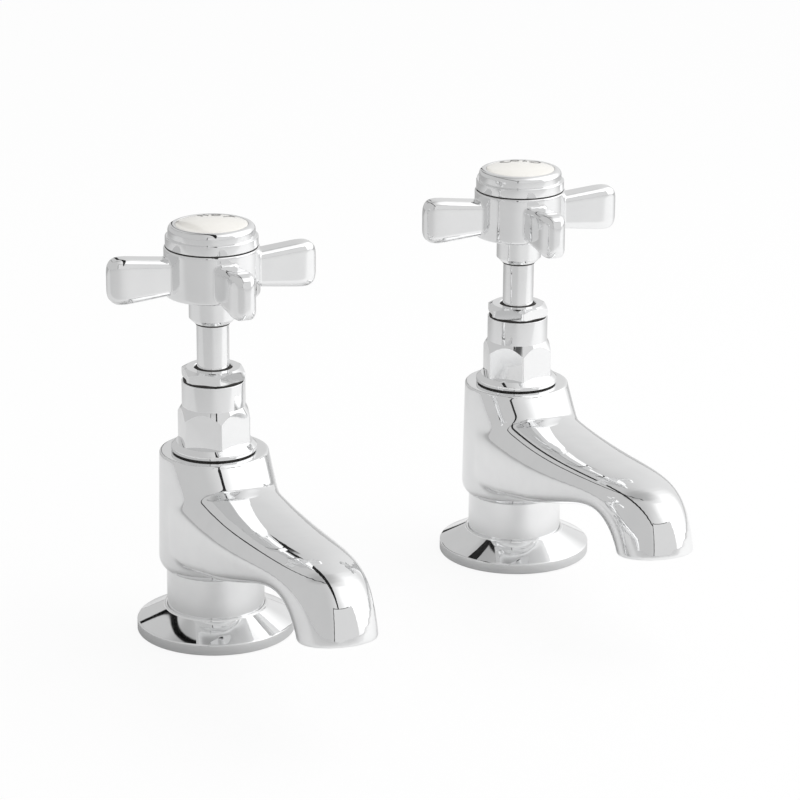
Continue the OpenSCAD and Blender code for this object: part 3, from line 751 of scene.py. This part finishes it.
def domeRadius():
    return (disc["radius"] ** 2 + disc["rise"] ** 2) / (2 * disc["rise"])


def domeHeight(radius):
    dome = domeRadius()
    return disc["edge"] + disc["rise"] - dome + math.sqrt(dome * dome - radius * radius)


def makeDisc():
    rounds = [(r, domeHeight(r)) for r in disc["domeRadii"]]
    piece = turned("indexDisc", [
        (disc["footRadius"], disc["low"]), (disc["radius"], disc["low"], disc["rounding"]),
        (disc["radius"], disc["edge"] - disc["edgeDrop"], disc["rounding"]),
    ] + rounds, sides=disc["sides"])
    finishSurface(piece, disc["crease"])
    return piece


def makeLetters(tap):
    glyphs = []
    slope = math.asin(disc["letterRadius"] / domeRadius())
    for letter, angle in disc["letters"][tap]:
        deselectAll()
        bpy.ops.object.text_add(location=(0, 0, 0))
        glyph = bpy.context.object
        glyph.data.body = letter
        glyph.data.align_x = "CENTER"
        glyph.data.align_y = "CENTER"
        glyph.data.size = disc["letterSize"] * mm
        glyph.data.offset = -disc["letterThinning"] * mm
        glyph.data.extrude = disc["letterDepth"] * mm
        bpy.ops.object.convert(target="MESH")
        glyph.data.transform(
            Matrix.Rotation(math.radians(angle - 90), 4, "Z")
            @ Matrix.Translation((0, disc["letterRadius"] * mm, domeHeight(disc["letterRadius"]) * mm))
            @ Matrix.Rotation(-slope, 4, "X") @ Matrix.Diagonal((disc["letterNarrowing"], 1, 1, 1)))
        glyphs.append(glyph)
    word = joined(*glyphs)
    word.name = tap + "Word"
    return word


print("makers ready")


# finishes

# grain is the size of the pattern and relief its depth, in millimetres; roughness and tints run
# between their two values with it; colour and plainRoughness serve where the pattern isn't shown
finishes = {
    "chromePlate": {
        "colour": (0.88, 0.885, 0.89), "metallic": 1.0, "plainRoughness": 0.04,
        "grain": 9.0, "relief": 0.004, "roughness": (0.02, 0.05),
        "tints": ((0.865, 0.868, 0.872), (0.895, 0.898, 0.9)),
    },
    "machinedBrass": {
        "colour": (0.72, 0.5, 0.2), "metallic": 1.0, "plainRoughness": 0.3,
        "grain": 1.5, "relief": 0.02, "roughness": (0.22, 0.4),
        "tints": ((0.66, 0.44, 0.17), (0.78, 0.56, 0.25)),
    },
    "screwSteel": {
        "colour": (0.6, 0.6, 0.6), "metallic": 1.0, "plainRoughness": 0.3,
        "grain": 1.0, "relief": 0.01, "roughness": (0.2, 0.38),
        "tints": ((0.55, 0.55, 0.56), (0.68, 0.68, 0.68)),
    },
    "blackRubber": {
        "colour": (0.02, 0.02, 0.02), "metallic": 0.0, "plainRoughness": 0.7,
        "grain": 0.6, "relief": 0.05, "roughness": (0.55, 0.8),
        "tints": ((0.014, 0.014, 0.015), (0.035, 0.035, 0.036)),
    },
    # a fibre washer's own dark colour, which also paints the shade on the dark gap rings
    "fibreAndGapShade": {
        "colour": (0.03, 0.028, 0.026), "metallic": 0.0, "plainRoughness": 0.8,
        "grain": 0.4, "relief": 0.05, "roughness": (0.7, 0.95),
        "tints": ((0.018, 0.017, 0.016), (0.05, 0.045, 0.042)),
    },
    "whiteNylon": {
        "colour": (0.8, 0.78, 0.72), "metallic": 0.0, "plainRoughness": 0.4,
        "grain": 2.0, "relief": 0.02, "roughness": (0.35, 0.5),
        "tints": ((0.76, 0.74, 0.68), (0.84, 0.82, 0.77)),
    },
    "glandPacking": {
        "colour": (0.75, 0.75, 0.73), "metallic": 0.0, "plainRoughness": 0.7,
        "grain": 0.5, "relief": 0.08, "roughness": (0.6, 0.8),
        "tints": ((0.6, 0.6, 0.58), (0.85, 0.85, 0.83)),
    },
    "ivoryCeramic": {
        "colour": (0.9, 0.88, 0.835), "metallic": 0.0, "plainRoughness": 0.12, "coat": 0.4,
        "grain": 5.0, "relief": 0.004, "roughness": (0.1, 0.18),
        "tints": ((0.89, 0.87, 0.82), (0.915, 0.895, 0.855)),
    },
    "letterGlaze": {
        "colour": (0.03, 0.03, 0.03), "metallic": 0.0, "plainRoughness": 0.3,
        "grain": 1.0, "relief": 0.004, "roughness": (0.2, 0.35),
        "tints": ((0.02, 0.02, 0.02), (0.05, 0.05, 0.05)),
    },
}
patternRange = (0.3, 0.7)     # the part of the noise that the roughness and the tints follow


def makeFinish(name, values):
    material = bpy.data.materials.new(name)
    material.use_nodes = True
    nodes = material.node_tree.nodes
    links = material.node_tree.links
    shader = nodes["Principled BSDF"]
    shader.inputs["Base Color"].default_value = (*values["colour"], 1)
    shader.inputs["Metallic"].default_value = values["metallic"]
    shader.inputs["Roughness"].default_value = values["plainRoughness"]
    shader.inputs["Coat Weight"].default_value = values.get("coat", 0)
    place = nodes.new("ShaderNodeTexCoord")
    mapping = nodes.new("ShaderNodeMapping")
    mapping.inputs["Scale"].default_value = (1 / (values["grain"] * mm),) * 3
    noise = nodes.new("ShaderNodeTexNoise")
    noise.inputs["Scale"].default_value = 1.0
    noise.inputs["Detail"].default_value = 3.0
    links.new(place.outputs["Object"], mapping.inputs["Vector"])
    links.new(mapping.outputs["Vector"], noise.inputs["Vector"])
    spread = nodes.new("ShaderNodeMapRange")
    spread.inputs["From Min"].default_value = patternRange[0]
    spread.inputs["From Max"].default_value = patternRange[1]
    spread.inputs["To Min"].default_value = values["roughness"][0]
    spread.inputs["To Max"].default_value = values["roughness"][1]
    links.new(noise.outputs["Fac"], spread.inputs["Value"])
    links.new(spread.outputs["Result"], shader.inputs["Roughness"])
    ramp = nodes.new("ShaderNodeValToRGB")
    for element, position, tint in zip(ramp.color_ramp.elements, patternRange, values["tints"]):
        element.position = position
        element.color = (*tint, 1)
    links.new(noise.outputs["Fac"], ramp.inputs["Fac"])
    links.new(ramp.outputs["Color"], shader.inputs["Base Color"])
    relief = nodes.new("ShaderNodeBump")
    relief.inputs["Strength"].default_value = 1.0
    relief.inputs["Distance"].default_value = values["relief"] * mm
    links.new(noise.outputs["Fac"], relief.inputs["Height"])
    links.new(relief.outputs["Normal"], shader.inputs["Normal"])
    return material


finish = {name: makeFinish(name, values) for name, values in finishes.items()}
print("finishes ready")


# pieces of both taps

# degrees that the hexagons and the crosshead of each tap are turned
angles = {
    "hot": {"hex": 20.8, "handle": -2.1},
    "cold": {"hex": 14.6, "handle": -4.4},
}

# what makes the piece, the node that it stands for, its finish, the record's slot, and what turns it
looks = [
    (makeBody, "body", "chromePlate", "chrome", None),
    (makeFlange, "base_flange", "chromePlate", "chrome", None),
    (makeTail, "tail", "machinedBrass", "brass", None),
    (makeBacknut, "backnut", "machinedBrass", "brass", None),
    (makeHeadwork, "headwork", "chromePlate", "chrome", "hex"),
    (makeGlandNut, "gland_nut", "chromePlate", "chrome", "hex"),
    (makeSpindle, "spindle", "chromePlate", "chrome", "handle"),
    (makeHandle, "handle", "chromePlate", "chrome", "handle"),
    (makeIndexRing, "index_ring", "chromePlate", "chrome", None),
    (makeDisc, "index_disc", "ivoryCeramic", "ceramic", None),
]

# dressed in these finishes, the other solids stay as they are
carried = {
    "bonnet_washer": "fibreAndGapShade", "deck_gasket": "blackRubber", "backnut_washer": "whiteNylon",
    "gland_packing": "glandPacking", "jumper": "machinedBrass", "tap_washer": "blackRubber",
    "washer_nut": "machinedBrass", "handle_screw": "screwSteel",
}

discLow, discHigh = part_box("cold_index_disc")
coldPlace = (discLow + discHigh) / 2
coldPlace.z = 0
places = {"hot": Vector((0, 0, 0)), "cold": coldPlace}


def twoOf(master):
    # the hot tap gets a copy with its own mesh, and the cold one the master
    copy = master.copy()
    copy.data = master.data.copy()
    bpy.context.collection.objects.link(copy)
    return zip(taps, (copy, master))


def dress(piece, tap, finishName, turning=None):
    piece.data.materials.clear()
    piece.data.materials.append(finish[finishName])
    angle = angles[tap][turning] if turning else 0
    piece.data.transform(Matrix.Translation(places[tap]) @ Matrix.Rotation(math.radians(angle), 4, "Z"))


models = {}
for make, node, *_ in looks:
    models[node] = make()
    print(node + " modelled")

for _, node, finishName, slotName, turning in looks:
    for tap, piece in twoOf(models[node]):
        cadName = tap + "_" + node
        piece.name = cadName + "_look"
        dress(piece, tap, finishName, turning)
        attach(piece, frame["nodes"][cadName]["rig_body"])
        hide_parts(cadName)

for tap in taps:
    word = makeLetters(tap)
    dress(word, tap, "letterGlaze")
    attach(word, frame["nodes"][tap + "_index_disc"]["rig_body"])
print("letters made")

for tap in taps:
    for values, name, node in ((glandShadeRings, "gland_gap_shade", "gland_nut"), (jointShadeRings, "joint_gap_shades", "handle")):
        piece = makeShadeRings(values)
        piece.name = tap + "_" + name + "_look"
        # painted shade: the rings take the dark fibre finish to stand for the shadow in the gaps
        dress(piece, tap, "fibreAndGapShade")
        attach(piece, frame["nodes"][tap + "_" + node]["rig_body"])
print("dark rings made")

for tap in taps:
    for node, finishName in carried.items():
        cadNode = frame["nodes"][tap + "_" + node]
        cadNode.data.materials.clear()
        cadNode.data.materials.append(finish[finishName])
print("both taps dressed")


# helpers for the stage: nodes that work on one number

def smoothRange(tree, value, low, high, first, last):
    node = tree.nodes.new("ShaderNodeMapRange")
    node.interpolation_type = "SMOOTHSTEP"
    for name, number in (("From Min", low), ("From Max", high), ("To Min", first), ("To Max", last)):
        node.inputs[name].default_value = number
    tree.links.new(value, node.inputs["Value"])
    return node.outputs["Result"]


def reckoned(tree, operation, first, second=None):
    # second is another socket, a number or nothing
    node = tree.nodes.new("ShaderNodeMath")
    node.operation = operation
    tree.links.new(first, node.inputs[0])
    if isinstance(second, float):
        node.inputs[1].default_value = second
    elif second is not None:
        tree.links.new(second, node.inputs[1])
    return node.outputs[0]


def pictureAxes(tree, socket):
    # directions and places are in the picture's own frame: X to the right, Y beyond the taps
    turning = tree.nodes.new("ShaderNodeMapping")
    turning.inputs["Rotation"].default_value = (0, 0, math.radians(photoView["turn"]))
    tree.links.new(socket, turning.inputs["Vector"])
    return turning.outputs["Vector"]


# floor

floorLook = {
    "size": 6,
    "height": -0.0002,
    "roughness": 0.6,
    "paint": (0.97, 0.97, 0.97, 1),
    "brightness": 0.9,         # how white it shows to the camera, its shadow kept
    # what the chrome mirrors is the floor with painted shade, greyer to the left, far beyond, far in front and
    # round each flange: from, to, and the grey at either end, in metres
    "sideways": (-0.12, 0.22, 0.8, 0.95),
    "beyond": (0.12, 0.5, 1.0, 0.62),
    "inFront": (-0.27, -0.14, 0.85, 1.0),
    "shadeRoundFlange": (0.028, 0.062, 0.74, 1.0),
}


def makeFloorPaint():
    paint = bpy.data.materials.new("floorPaint")
    paint.use_nodes = True
    tree = paint.node_tree
    nodes = tree.nodes
    links = tree.links
    shader = nodes["Principled BSDF"]
    shader.inputs["Roughness"].default_value = floorLook["roughness"]
    glow = nodes.new("ShaderNodeEmission")
    glow.inputs["Strength"].default_value = 1.0
    path = nodes.new("ShaderNodeLightPath")
    mixer = nodes.new("ShaderNodeMixShader")
    seen = reckoned(tree, "MULTIPLY", path.outputs["Is Camera Ray"], floorLook["brightness"])
    links.new(seen, mixer.inputs["Fac"])
    links.new(shader.outputs["BSDF"], mixer.inputs[1])
    links.new(glow.outputs["Emission"], mixer.inputs[2])
    links.new(mixer.outputs["Shader"], nodes["Material Output"].inputs["Surface"])

    # painted shade on the floor that glossy rays see: darker to the left, far beyond, far in front and round
    # each tap's flange
    place = nodes.new("ShaderNodeTexCoord").outputs["Object"]
    axes = nodes.new("ShaderNodeSeparateXYZ")
    links.new(pictureAxes(tree, place), axes.inputs["Vector"])
    shade = smoothRange(tree, axes.outputs["X"], *floorLook["sideways"])
    for name in ("beyond", "inFront"):
        shade = reckoned(tree, "MULTIPLY", shade, smoothRange(tree, axes.outputs["Y"], *floorLook[name]))
    for tap in taps:
        away = nodes.new("ShaderNodeVectorMath")
        away.operation = "DISTANCE"
        away.inputs[1].default_value = places[tap]
        links.new(place, away.inputs[0])
        near = smoothRange(tree, away.outputs["Value"], *floorLook["shadeRoundFlange"])
        shade = reckoned(tree, "MULTIPLY", shade, near)
    # glossy rays see the painted shade, all other rays the plain paint
    tone = nodes.new("ShaderNodeMix")
    tone.data_type = "RGBA"
    tone.inputs[6].default_value = floorLook["paint"]
    links.new(shade, tone.inputs[7])
    links.new(path.outputs["Is Glossy Ray"], tone.inputs["Factor"])
    links.new(tone.outputs[2], shader.inputs["Base Color"])
    return paint


deselectAll()
bpy.ops.mesh.primitive_plane_add(size=floorLook["size"], location=(0, 0, floorLook["height"]))
floor = bpy.context.object
floor.name = "floor"
floor.data.materials.append(makeFloorPaint())


# studio: azimuth 0 is beyond the taps and 90 is right, in degrees

studio = {
    "greys": (-0.35, 0.3, 0.6, 0.84),          # sideways part of a direction from, to, grey left, grey right
    "crown": 0.7,                              # what is left of the light high up beyond the taps
    "crownHeight": (0.72, 0.94),
    "crownDepth": (0.02, 0.3),
    "panel": (84.0, 36.0, 21.0, 56.0, 0.56),   # azimuth, height, inner and outer half angle, added light
    "arc": ((0.0116, 0.7058, 0.7083), 0.8195, 0.006, 0.01),   # axis, how far round it, half width, light left
    "arcSide": (-0.1, -0.2),
    "arcHeight": (0.28, 0.36),
    "frontPanel": (114.0, 187.0, 42.0, 0.76),  # from azimuth, to azimuth, its top, its light
    "frontPanelRim": (12.0, 2.2, 0.12),        # where it starts, its width, and the light it leaves
    "frontPanelSoftness": (0.01, 0.006, 0.006),
    "farSeam": (-11.0, 0.022, 0.03),           # azimuth, half width, light left
    "farSeamFades": (0.88, 0.93),
    "seamSoftness": 1.5,
}

# a near dark strip over the taps, which the chrome mirrors as a line
seam = {
    "height": 0.33,
    "azimuth": -13.0,
    "offset": 0.006,           # right of the hot tap
    "width": 0.026,
    "start": -0.42,
    "end": 1.4,
    "colour": (0.01, 0.01, 0.01, 1),
    "roughness": 0.9,
}

lampLook = {
    "size": 0.9,
    "power": 2.8,
    "azimuth": 84.0,
    "height": 60,
}


def unitDirection(azimuth, height):
    # in the picture's own frame
    level = math.cos(math.radians(height))
    return Vector((math.sin(math.radians(azimuth)) * level, math.cos(math.radians(azimuth)) * level,
                   math.sin(math.radians(height))))


def roomDirection(azimuth, height=0.0):
    # the same direction in the frame of the taps
    return unitDirection(azimuth + photoView["turn"], height)


def makeSeam():
    paint = bpy.data.materials.new("cardPaint")
    paint.use_nodes = True
    shader = paint.node_tree.nodes["Principled BSDF"]
    shader.inputs["Base Color"].default_value = seam["colour"]
    shader.inputs["Roughness"].default_value = seam["roughness"]
    rightwards = roomDirection(seam["azimuth"] + 90)
    along = roomDirection(seam["azimuth"])
    spot = rightwards * seam["offset"] + along * (seam["start"] + seam["end"]) / 2
    deselectAll()
    bpy.ops.mesh.primitive_plane_add(size=1, location=(spot.x, spot.y, seam["height"]),
                                     rotation=(0, 0, -math.radians(seam["azimuth"] + photoView["turn"])))
    card = bpy.context.object
    card.name = "seam0"
    card.scale = (seam["width"], seam["end"] - seam["start"], 1)
    card.data.materials.append(paint)
    card.visible_camera = False
    card.visible_diffuse = False
    card.visible_shadow = False


def makeWorld():
    world = bpy.data.worlds.new("studio")
    bpy.context.scene.world = world
    world.use_nodes = True
    tree = world.node_tree
    nodes = tree.nodes
    links = tree.links
    background = nodes["Background"]
    background.inputs["Strength"].default_value = 1.0
    direction = pictureAxes(tree, nodes.new("ShaderNodeTexCoord").outputs["Generated"])

    def dotWith(axis):
        node = nodes.new("ShaderNodeVectorMath")
        node.operation = "DOT_PRODUCT"
        node.inputs[1].default_value = axis
        links.new(direction, node.inputs[0])
        return node.outputs["Value"]

    def towards(axis, low, high, first=0, last=1):
        # how far the direction points along the axis, from low to high
        return smoothRange(tree, dotWith(axis), low, high, first, last)

    def dimmed(level, mask, left):
        return reckoned(tree, "MULTIPLY", level, smoothRange(tree, mask, 0, 1, 1, left))

    def band(distance, width):
        # a dark line's mask, soft at both sides
        size = reckoned(tree, "ABSOLUTE", distance)
        return smoothRange(tree, size, width, width * studio["seamSoftness"], 1, 0)

    def panelMask(first, last, top):
        start, end, upper = studio["frontPanelSoftness"]
        edge = math.sin(math.radians(top))
        inside = reckoned(tree, "MULTIPLY", towards(unitDirection(first + 90, 0), -start, start),
                          towards(unitDirection(last - 90, 0), -end, end))
        return reckoned(tree, "MULTIPLY", inside, towards(upwards, edge - upper, edge + upper, 1, 0))

    rightwards = (1, 0, 0)
    backwards = (0, 1, 0)
    upwards = (0, 0, 1)
    level = towards(rightwards, *studio["greys"])
    crown = reckoned(tree, "MULTIPLY", towards(upwards, *studio["crownHeight"]),
                     towards(backwards, *studio["crownDepth"]))
    level = dimmed(level, crown, studio["crown"])

    azimuth, height, inner, outer, gain = studio["panel"]
    panel = towards(unitDirection(azimuth, height), math.cos(math.radians(outer)),
                    math.cos(math.radians(inner)), 0, gain)
    level = reckoned(tree, "ADD", level, panel)

    axis, shift, width, left = studio["arc"]
    arc = band(reckoned(tree, "SUBTRACT", dotWith(axis), shift), width)
    arc = reckoned(tree, "MULTIPLY", arc, towards(rightwards, *studio["arcSide"]))
    arc = reckoned(tree, "MULTIPLY", arc, towards(upwards, *studio["arcHeight"]))
    level = dimmed(level, arc, left)

    first, last, top, shine = studio["frontPanel"]
    rimStart, rim, left = studio["frontPanelRim"]
    level = dimmed(level, panelMask(first + rimStart, last + rim, top + rim), left)
    inside = panelMask(first, last, top)
    level = reckoned(tree, "ADD", dimmed(level, inside, 0), reckoned(tree, "MULTIPLY", inside, shine))

    azimuth, width, left = studio["farSeam"]
    far = band(dotWith(unitDirection(azimuth + 90, 0)), width)
    far = reckoned(tree, "MULTIPLY", far, towards(unitDirection(azimuth, 0), *studio["farSeamFades"]))
    level = dimmed(level, far, left)

    # the camera itself sees plain white
    path = nodes.new("ShaderNodeLightPath")
    shown = nodes.new("ShaderNodeMix")
    shown.data_type = "RGBA"
    shown.inputs[7].default_value = (1, 1, 1, 1)
    links.new(path.outputs["Is Camera Ray"], shown.inputs["Factor"])
    links.new(level, shown.inputs[6])
    links.new(shown.outputs[2], background.inputs["Color"])


def makeLamp():
    # it lights the disc and the floor, and isn't mirrored
    lamp = bpy.data.lights.new("softLamp", "AREA")
    lamp.shape = "DISK"
    lamp.size = lampLook["size"]
    lamp.energy = lampLook["power"]
    holder = bpy.data.objects.new("softLamp", lamp)
    bpy.context.collection.objects.link(holder)
    aside = roomDirection(lampLook["azimuth"], lampLook["height"])
    holder.location = places["cold"] / 2 + aside
    holder.rotation_euler = aside.to_track_quat("Z", "Y").to_euler()
    holder.visible_glossy = False


makeSeam()
makeWorld()
makeLamp()
print("stage ready")

print("done")
